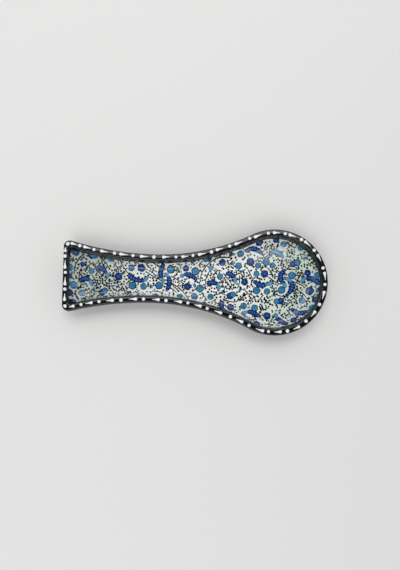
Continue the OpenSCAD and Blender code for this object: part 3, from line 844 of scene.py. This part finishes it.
# Berries, first the handle, then the neck, then the left and the right of the bowl
berries = [
    (73.5, 260), (75, 262.5), (78.5, 264.5), (73.5, 265.5), (75.5, 267.5), (77.5, 268.5), (76, 270.5),
    (72, 272.5), (77, 273), (76, 276), (81.5, 270.5), (83.5, 273.5), (81.5, 275.5), (85, 274.5),
    (87, 273), (87.5, 275.5), (85.5, 270.5), (86, 262.5), (86.5, 259), (87, 256), (82, 253), (70, 256),
    (82, 258), (82.5, 284.5), (86, 284), (81, 287), (83.5, 287.5), (78.5, 287.5), (87, 286), (72.5, 291),
    (76, 291), (74.5, 294), (72.5, 296), (78.5, 298.5), (81.5, 298.5), (82, 300.5), (87, 293.5),
    (89.5, 293), (91, 291.5), (92, 293), (91.5, 295.5), (89.5, 296.5), (86.5, 296.5), (88.5, 298.5),
    (93.5, 298.5), (96, 293.5), (96, 275), (98, 275), (96.5, 277.5), (99.5, 277), (100.5, 278.5),
    (102.5, 279), (95, 280), (100, 281), (102.5, 283), (99, 284), (100.5, 286.5), (98, 287.5), (96.5, 288),
    (109.5, 281), (112, 281), (106.5, 283), (109, 283.5), (111.5, 283.5), (114.5, 283), (106.5, 267.5),
    (109.5, 269), (110, 273), (112, 270.5), (114.5, 270.5), (113.5, 273), (102, 263), (100, 263.5), (97, 263),
    (121, 266.5), (121, 271), (118, 259), (119, 287), (119.5, 290), (116.5, 291), (118.5, 291.5),
    (113, 292.5), (115.5, 293.5), (118.5, 294), (109.5, 293.5),
    (127, 263.5), (125.5, 265.5), (121, 266), (124, 268.5), (124.5, 276.5), (126.5, 279.5), (124, 281.5),
    (126.5, 283), (121.5, 284), (124, 284), (122.5, 286.5), (126, 286.5), (122, 290.5), (127, 292.5),
    (137, 289.5), (133.5, 292.5), (138.5, 293.5), (143, 293), (123, 294), (148, 266), (151.5, 265.5),
    (150, 268), (147, 269.5), (150, 271), (153.5, 268.5), (155.5, 267.5), (137.5, 273.5), (141, 273.5),
    (144, 274), (154, 274), (148, 282.5), (150, 281), (153.5, 280.5), (150.5, 286), (154.5, 289.5),
    (157, 291), (147, 291.5), (150.5, 292), (148.5, 295.5), (145, 294), (173, 264.5), (175.5, 266.5),
    (179, 264), (181, 262), (181.5, 264.5), (186, 263.5), (188.5, 260.5), (189, 264.5), (191.5, 262.5),
    (194, 264.5), (191, 267.5), (198.5, 261), (181, 272), (176.5, 274.5), (186.5, 279), (182, 280.5),
    (179.5, 283.5), (175.5, 282), (183, 283.5), (180.5, 286), (179.5, 288.5), (177, 289), (182.5, 287.5),
    (178.5, 291), (173.5, 293.5), (173.5, 295), (169.5, 293), (169, 295), (165.5, 294.5), (168, 297),
    (165.5, 298), (163.5, 296), (189, 282), (193, 290.5), (184.5, 297.5), (188, 298.5),
    (226.5, 254.5), (217, 256.5), (220, 256.5), (218, 258), (215, 259.5), (199, 261), (196.5, 263),
    (211.5, 260.5), (200, 264), (202, 264.5), (204.5, 265.5), (203, 267), (204.5, 268.5), (200.5, 270.5),
    (202, 271.5), (202, 274.5), (198, 276.5), (208, 274.5), (210.5, 275.5), (214, 274.5), (207, 277),
    (210.5, 278), (214.5, 277.5), (208.5, 279.5), (212, 279.5), (202.5, 280.5), (228, 263), (229, 264.5),
    (226, 265.5), (228.5, 267), (222.5, 268), (223.5, 269), (226.5, 268), (231.5, 267), (233, 268),
    (229.5, 257.5), (235.5, 257.5), (236.5, 260), (243, 259.5), (237, 255.5), (250.5, 254.5), (254.5, 255.5),
    (245.5, 263.5), (245, 265), (245, 266.5), (247, 268), (262, 268), (261.5, 248), (257, 245.5), (247, 273),
    (246.5, 276.5), (236.5, 274.5), (223, 278), (225.5, 280), (223, 282), (226, 282.5), (230, 280.5),
    (228, 284.5), (230.5, 287), (227, 288.5), (227, 291.5), (224.5, 292), (222, 286.5), (211.5, 288),
    (214.5, 288.5), (211.5, 291.5), (208, 292), (209.5, 289.5), (214, 292), (247.5, 286), (249.5, 287),
    (247, 288), (249.5, 291), (251.5, 291.5), (237, 295.5), (238.5, 298), (240.5, 296.5), (243, 295),
    (244.5, 295.5), (245.5, 294.5), (241.5, 299.5), (243, 298), (245.5, 298), (243.5, 300), (238, 299.5),
    (251, 293.5), (257, 293.5), (257, 296), (254.5, 297), (250.5, 298), (249.5, 300.5), (252.5, 301.5),
    (255, 299.5), (246.5, 301), (240, 300.5), (214.5, 295.5), (216.5, 297.5), (220.5, 297), (224.5, 297),
    (220.5, 300.5), (224, 299.5), (209, 302.5), (212, 302), (209.5, 305.5), (211.5, 306.5), (212, 303.5),
    (200, 294.5), (203, 293.5), (200.5, 298), (205.5, 298.5), (235, 304.5), (235.5, 307), (239.5, 307),
    (235.5, 310), (236.5, 312.5), (240, 309.5), (247, 304.5), (248.5, 304), (258.5, 301.5), (261.5, 300),
    (260.5, 304.5), (249.5, 318), (247, 317), (251.5, 319.5), (262, 305.5), (260.5, 308), (261.5, 310),
    (259.5, 313), (263, 320), (262, 325),
    (265.5, 242.5), (267, 244), (269.5, 242), (268, 246.5), (272.5, 244.5), (271.5, 247), (274, 247),
    (266, 249.5), (262, 248), (274, 249), (276.5, 248.5), (267, 252.5), (277, 247), (278, 245.5),
    (287.5, 248.5), (289, 247), (291.5, 249.5), (294, 250), (287, 252), (289.5, 252.5), (292, 251.5),
    (288.5, 250.5), (292, 253.5), (294.5, 252), (298, 251.5), (294, 254.5), (298, 255.5), (300.5, 252),
    (304.5, 252.5), (303, 254.5), (300.5, 254.5), (305, 255), (287, 256.5), (290.5, 256.5), (293, 258),
    (290.5, 260), (288.5, 260.5), (294.5, 260), (298, 258), (273, 258), (276.5, 256.5), (278, 259),
    (276.5, 260), (274, 260.5), (279.5, 260.5), (278, 262.5), (281.5, 263), (283.5, 264.5), (280.5, 265),
    (278.5, 265.5), (281.5, 265.5), (283.5, 266.5), (285.5, 267), (278.5, 268.5), (282, 268), (275, 265.5),
    (270.5, 272), (274, 271.5), (272, 274.5), (276.5, 272), (272.5, 277), (275, 274.5), (262.5, 267.5),
    (261.5, 279.5), (264.5, 279.5), (260, 258), (270.5, 287), (272.5, 286), (272, 288), (277, 294),
    (261.5, 294), (267, 296.5), (264.5, 298), (268, 298), (270, 297), (272, 296), (275, 296), (258, 296.5),
    (261.5, 300), (264.5, 299.5), (266, 300.5), (269.5, 300.5), (272, 299.5), (266, 302), (264.5, 303),
    (262, 302), (268, 302.5), (262, 306.5), (259.5, 306.5), (262.5, 308), (265.5, 305.5), (260.5, 309.5),
    (263.5, 309.5), (260.5, 312), (265.5, 309.5), (278, 304.5), (282.5, 305), (284.5, 304), (286.5, 305.5),
    (281.5, 307), (284.5, 307), (272, 310.5), (272.5, 312), (280, 310.5), (282.5, 314.5), (284.5, 313.5),
    (281.5, 315.5), (283, 317), (279.5, 313), (286, 315.5), (285.5, 318), (264.5, 318), (262.5, 320),
    (266.5, 320.5), (271, 321.5), (272, 319.5), (265.5, 324), (262, 324.5), (275.5, 319.5), (276.5, 325),
    (278.5, 325.5), (283, 326.5), (285, 325), (287, 326.5), (281.5, 328), (290, 320.5), (302, 277),
    (298, 278), (296, 271.5), (301.5, 270.5), (304.5, 264.5), (308.5, 263), (307.5, 265), (310.5, 265.5),
    (311.5, 262.5), (301.5, 266), (307, 268), (304.5, 266.5), (314.5, 261.5), (315.5, 264.5), (313.5, 267),
    (316, 270), (312.5, 272), (317, 266.5), (309.5, 270.5), (301.5, 257), (308, 255.5), (310.5, 255.5),
    (312, 258.5), (309.5, 260), (305, 258.5), (308.5, 283.5), (297, 286.5), (300.5, 288), (302, 290),
    (300.5, 293), (298, 293), (304, 284.5), (296, 292.5), (294, 293), (300, 295.5), (311.5, 286.5),
    (305, 292), (287.5, 297.5), (291.5, 297), (289.5, 300), (288, 300.5), (291.5, 302), (300.5, 305),
    (302, 307), (298, 307), (304.5, 306), (300.5, 308.5), (306.5, 306.5), (307, 304), (296.5, 309.5),
    (300.5, 318), (302.5, 319), (298.5, 319.5), (300.5, 320.5), (303.5, 317.5), (297, 317), (312, 296.5),
    (313.5, 293.5), (310, 302), (306.5, 301.5),
]
spread = pixel * painting["flowerSwell"] * painting["flowerRim"]
rosettes = [(fromPhoto(place[:2]), place[2] * spread) for kind in flowers for place in flowers[kind]]


def offFlowers(p, room):
    return all((p.xy - centre.xy).length > radius + room for centre, radius in rosettes)


berryPlaces = [p for p in map(fromPhoto, berries) if offFlowers(p, painting["berryRadius"] / 2)]


def clearOf(p, room):
    apart = room * painting["berryApart"]
    return offFlowers(p, room) and all((p.xy - berry.xy).length > apart for berry in berryPlaces)


# Twigs leave the stem to alternate sides, each with a berry, where the ground is free
def addTwigs(places):
    line = curveThrough(places, painting["twigEvery"])
    for i in range(1, len(line)):
        side = sidewaysOf(line, i) * (1 if i % 2 else -1)
        along = Vector((side.y, -side.x)) * dice.uniform(-painting["twigSlant"], painting["twigSlant"])
        length = painting["twigLength"] * dice.uniform(*painting["twigLengths"])
        end = line[i] + (side + along).normalized() * length
        if not clearOf(end, painting["twigRoom"]):
            continue
        middle = (line[i] + end) / 2 + along * painting["twigBow"]
        sweep(stemBrush, [line[i], middle, end], painting["stemLift"], dice.random(),
              thinning(painting["twigWidth"]))
        berryPlaces.append(Vector((end.x, end.y, 0)))


for places in stems:
    stroke(stemBrush, places, painting["stemLift"], dice.random(), thinning(painting["stemWidth"]))
for places in stems:
    addTwigs(places)

# What is still bare is filled with sprigs, as the painter does: a short curl with three berries
inked = [p for places in stems for p in curveThrough(places, 1)]
for *points, tip in leaves + turquoiseLeaves:
    inked += curveThrough(points, 1)
    if tip:
        inked.append(fromPhoto(tip).xy)


def bareAt(p, closeness):
    if whiteTree.ray_cast(Vector((p.x, p.y, 2 * dish["height"])), straightDown)[0] is None:
        return False
    stemRoom = painting["stemRoom"] * closeness
    return clearOf(p, painting["bareRoom"] * closeness) and all((p - q).length > stemRoom for q in inked)


for _ in range(painting["sprigTries"]):
    start = Vector((dice.uniform(-0.5, 0.5) * dish["length"], dice.uniform(-0.5, 0.5) * dish["bowlWidth"]))
    closeness = painting["handleRoom"] if start.x < painting["handleEdge"] else 1
    if not bareAt(start, closeness):
        continue
    a = dice.uniform(0, 2 * math.pi)
    bend = dice.choice((-1, 1)) * dice.uniform(*painting["sprigBends"])
    line = [start]
    for k in range(4):
        turned = a + bend * k / 2
        line.append(line[-1] + Vector((math.cos(turned), math.sin(turned))) * painting["sprigStep"])
    sweep(stemBrush, line, painting["stemLift"], dice.random(), thinning(painting["twigWidth"]))
    inked += line
    for k in (0, 2, 4):
        place = line[k] + sidewaysOf(line, k) * dice.choice((-1, 1)) * painting["sprigReach"]
        if clearOf(place, painting["berryRoom"]):
            berryPlaces.append(Vector((*place, 0)))
for ends in leaflets:
    stroke(outlineBrush, ends, painting["berryLift"], painting["leafletOutlineShade"],
           leaflet(painting["leafletOutline"]))
    stroke(turquoiseBrush, ends, painting["berryLift"] + painting["layer"], painting["leafletShade"],
           leaflet(painting["leafletWidth"]))
for place in berryPlaces:
    radius = painting["berryRadius"] * dice.uniform(*painting["berrySizes"])
    blot(berryBrush, place, radius, painting["berryLift"], dice.random(),
         count=painting["berryCorners"], uneven=painting["berryUneven"])

outlineBrush.make("outlinesOfFlowersAndLeaves", linePaint, "cobalt_paint")
cobaltBrush.make("cobaltFlowers", cobaltPaint, "cobalt_paint", "cobalt_flowers")
turquoiseBrush.make("turquoiseFlowers", turquoisePaint, "turquoise_paint", "turquoise_flowers")
leafBrush.make("featherLeaves", cobaltPaint, "cobalt_paint", "feather_leaves")
stemBrush.make("stems", stemPaint, "cobalt_paint")
berryBrush.make("berries", linePaint, "cobalt_paint")
print("painting made")

# Enamel on the lip: places of the dots and of the middles of the drops, in the photo. A third
# value is the length share of a short drop beside a corner
dots = [
    (65, 306), (81, 304.5), (99, 301.5), (121, 300), (143.5, 299), (166, 300.5), (188, 302.5), (207, 309),
    (230, 317.5), (248.5, 326.5), (268.5, 331.5), (287.5, 331), (306, 321), (319.5, 304.5), (325, 284.5),
    (323, 268), (314.5, 250), (301.5, 239.5), (285, 235), (268.5, 234), (249.5, 238), (229.5, 245.5),
    (211.5, 252), (193, 255.5), (176, 257), (154, 257), (133, 255.5), (114.5, 253), (94, 249.5), (80, 245),
    (67, 243), (65, 256), (65.5, 272.5), (65.5, 289),
]
drops = [
    (89, 303), (110, 300.5), (133, 299), (156, 299.5), (178, 301.5), (198, 305.5), (218, 312.5), (239, 322),
    (260, 330), (278, 332), (297, 328.5), (313, 313.5), (323.5, 295), (325, 276), (319.5, 257.5),
    (307.5, 243.5), (292, 237), (276.5, 234.5), (258, 236), (238, 241.5), (219.5, 249), (202, 254),
    (185, 256.5), (166, 257), (144, 256.5), (123.5, 254), (104, 251.5), (87, 247.5), (65, 264.5), (65, 281),
    (71.5, 306, 0.72), (65, 297, 0.9), (65, 249.5, 0.6), (74, 243.5, 0.85),
]
midLand = (dish["lipWidth"] / 2, dish["endLipWidth"] / 2, dish["lipWidth"] / 2)
lipLine = outline((*midLand, dish["height"], dish["height"], dish["cornerRadius"] - dish["landWidth"] / 2))
lipLine = [Vector((p.x, p.y)) for p in lipLine]
lipLengths = [0]
for here, there in zip(lipLine, lipLine[1:] + lipLine[:1]):
    lipLengths.append(lipLengths[-1] + (there - here).length)
lipTree = BVHTree.FromPolygons(blackPoints, blackFaces)


def lipPlace(length):
    length %= lipLengths[-1]
    i = next(k for k in range(len(lipLine)) if lipLengths[k + 1] >= length)
    here, there = lipLine[i], lipLine[(i + 1) % len(lipLine)]
    along = (there - here).normalized()
    return here + along * (length - lipLengths[i]), along


def nearestOnLip(place):
    p = fromPhoto(place)
    p = Vector((p.x, p.y))
    best = min(range(len(lipLine)), key=lambda k: (lipLine[k] - p).length)
    here, along = lipPlace(lipLengths[best])
    length = lipLengths[best] + (p - here).dot(along)
    here, along = lipPlace(length)
    aside = (p - here).dot(Vector((-along.y, along.x)))
    return length, max(-enamel["asideMost"], min(enamel["asideMost"], aside))


# A drop of enamel: halfWidth(share) and rise(share) run from its head to its tail along the lip
def lipDrop(brush, place, length, halfWidth, rise, height):
    middle, aside = nearestOnLip(place)
    countAlong, countAcross = enamel["countAlong"], enamel["countAcross"]
    rows = []
    for i in range(countAlong + 1):
        share = (1 - math.cos(math.pi * i / countAlong)) / 2
        p, along = lipPlace(middle + (share - 0.5) * length)
        out = Vector((-along.y, along.x))
        half = max(halfWidth(share), enamel["leastHalf"])
        row = []
        for k in range(countAcross + 1):
            across = -math.cos(math.pi * k / countAcross)
            q = p + out * (aside + half * across)
            up = height * rise(share) * math.sqrt(max(0, 1 - across**2)) - enamel["sunk"]
            row.append(onSurface(q.x, q.y, up, lipTree))
        rows.append(row)
    brush.addGrid(rows[::-1], False, 0)


def roundEnd(share):
    return math.sqrt(max(0, 1 - (2 * share - 1) ** 2))


def dropHalf(share):
    head = enamel["dropHead"] / enamel["dropLength"]
    if share < head / 2:
        return enamel["dropHead"] / 2 * math.sqrt(max(0, 1 - (1 - 2 * share / head) ** 2))
    t = (share - head / 2) / (1 - head / 2)
    thinned = (1 - t) ** enamel["tailPower"]
    width = enamel["dropTail"] + (enamel["dropHead"] - enamel["dropTail"]) * thinned
    past = max(0, (t - enamel["tailEnd"]) / (1 - enamel["tailEnd"]))
    return width / 2 * math.sqrt(max(0, 1 - past**2))


def dropRise(share):
    return min(1, dropHalf(share) / (enamel["dropHead"] / 2)) ** enamel["risePower"]


dotBrush = Brush()
dropBrush = Brush()
for place in dots:
    width = enamel["dotDiameter"] * dice.uniform(1 - enamel["dotUneven"], 1 + enamel["dotUneven"])
    lipDrop(dotBrush, place, width, lambda s: width / 2 * roundEnd(s), roundEnd, enamel["dotHeight"])
for u, v, *short in drops:
    length = enamel["dropLength"] * dice.uniform(*enamel["dropLengths"]) * (short[0] if short else 1)
    lipDrop(dropBrush, (u, v), length, dropHalf, dropRise, enamel["dropHeight"])
dotBrush.make("enamelDots", reliefEnamel, "white_enamel", "enamel_dots")
dropBrush.make("enamelDrops", reliefEnamel, "white_enamel", "enamel_drops")
print("enamel made")

# Studio: level softboxes, as middle, size in metres, radiance. Together with the pale room they
# light the object at about 1. A grey card hangs over them, and the glaze mirrors it between them.
# The back softbox is in two: the right one starts further back, so that fewer flowers mirror it
studio = {
    "lamps": [
        ("softboxBackLeft", (-0.26, 0.625, 1.2), (0.76, 0.85), 2.95),
        ("softboxBackRight", (0.31, 0.595, 1.2), (0.38, 0.71), 3.2),
        ("softboxFront", (-0.3, -0.9, 1.2), (0.9, 1.1), 2.6),
    ],
    "room": "#E0E4E7",  # one colour to every ray, so that glossy surfaces show the room that is seen
    "floor": "#E4E3E0", "floorPlace": (0, 0, 0), "floorSize": (12, 12),
    "card": "#5A5C60", "cardPlace": (0, -0.05, 1.22), "cardSize": (2.2, 2.2),
    "matt": 0.9,
}


def makeLamp(name, place, size, radiance):
    lamp = bpy.data.lights.new(name, "AREA")
    lamp.shape = "RECTANGLE"
    lamp.size, lamp.size_y = size
    lamp.energy = radiance * math.pi * size[0] * size[1]
    stand = bpy.data.objects.new(name, lamp)
    stand.location = place
    bpy.context.scene.collection.objects.link(stand)


def makeSheet(name, finish, colour, place, size):
    x, y, z = place
    halfX, halfY = size[0] / 2, size[1] / 2
    corners = [(x + i * halfX, y + j * halfY, z) for i, j in ((-1, -1), (1, -1), (1, 1), (-1, 1))]
    mesh = bpy.data.meshes.new(name)
    mesh.from_pydata(corners, [], [(0, 1, 2, 3)])
    sheet = bpy.data.objects.new(name, mesh)
    bpy.context.scene.collection.objects.link(sheet)
    material = bpy.data.materials.new(finish)
    material.use_nodes = True
    shader = material.node_tree.nodes["Principled BSDF"]
    shader.inputs["Base Color"].default_value = linear(colour)
    shader.inputs["Roughness"].default_value = studio["matt"]
    mesh.materials.append(material)


def makeWorld():
    world = bpy.data.worlds.new("paleRoom")
    bpy.context.scene.world = world
    world.use_nodes = True
    world.node_tree.nodes["Background"].inputs["Color"].default_value = linear(studio["room"])


for lamp in studio["lamps"]:
    makeLamp(*lamp)
makeSheet("paperFloor", "matBackdropPaper", studio["floor"], studio["floorPlace"], studio["floorSize"])
makeSheet("overheadCard", "matGreyCard", studio["card"], studio["cardPlace"], studio["cardSize"])
makeWorld()
print("studio made")


def makeCamera():
    width, height = shot["picture"]
    u, v = shot["middle"]
    data = bpy.data.cameras.new("camera")
    data.sensor_width = shot["sensor"]
    data.lens = shot["sensor"] * shot["focal"] / height
    data.shift_x = (width / 2 - u) / height
    data.shift_y = (v - height / 2) / height
    eye = bpy.data.objects.new("camera", data)
    s, c = math.sin(shot["roll"]), math.cos(shot["roll"])
    eye.location = Vector((-shot["forward"] * s, shot["forward"] * c, shot["height"])) * toMetres
    eye.rotation_euler = (0, 0, shot["roll"])
    bpy.context.scene.collection.objects.link(eye)
    bpy.context.scene.camera = eye


makeCamera()
bpy.context.scene.view_settings.view_transform = "Standard"
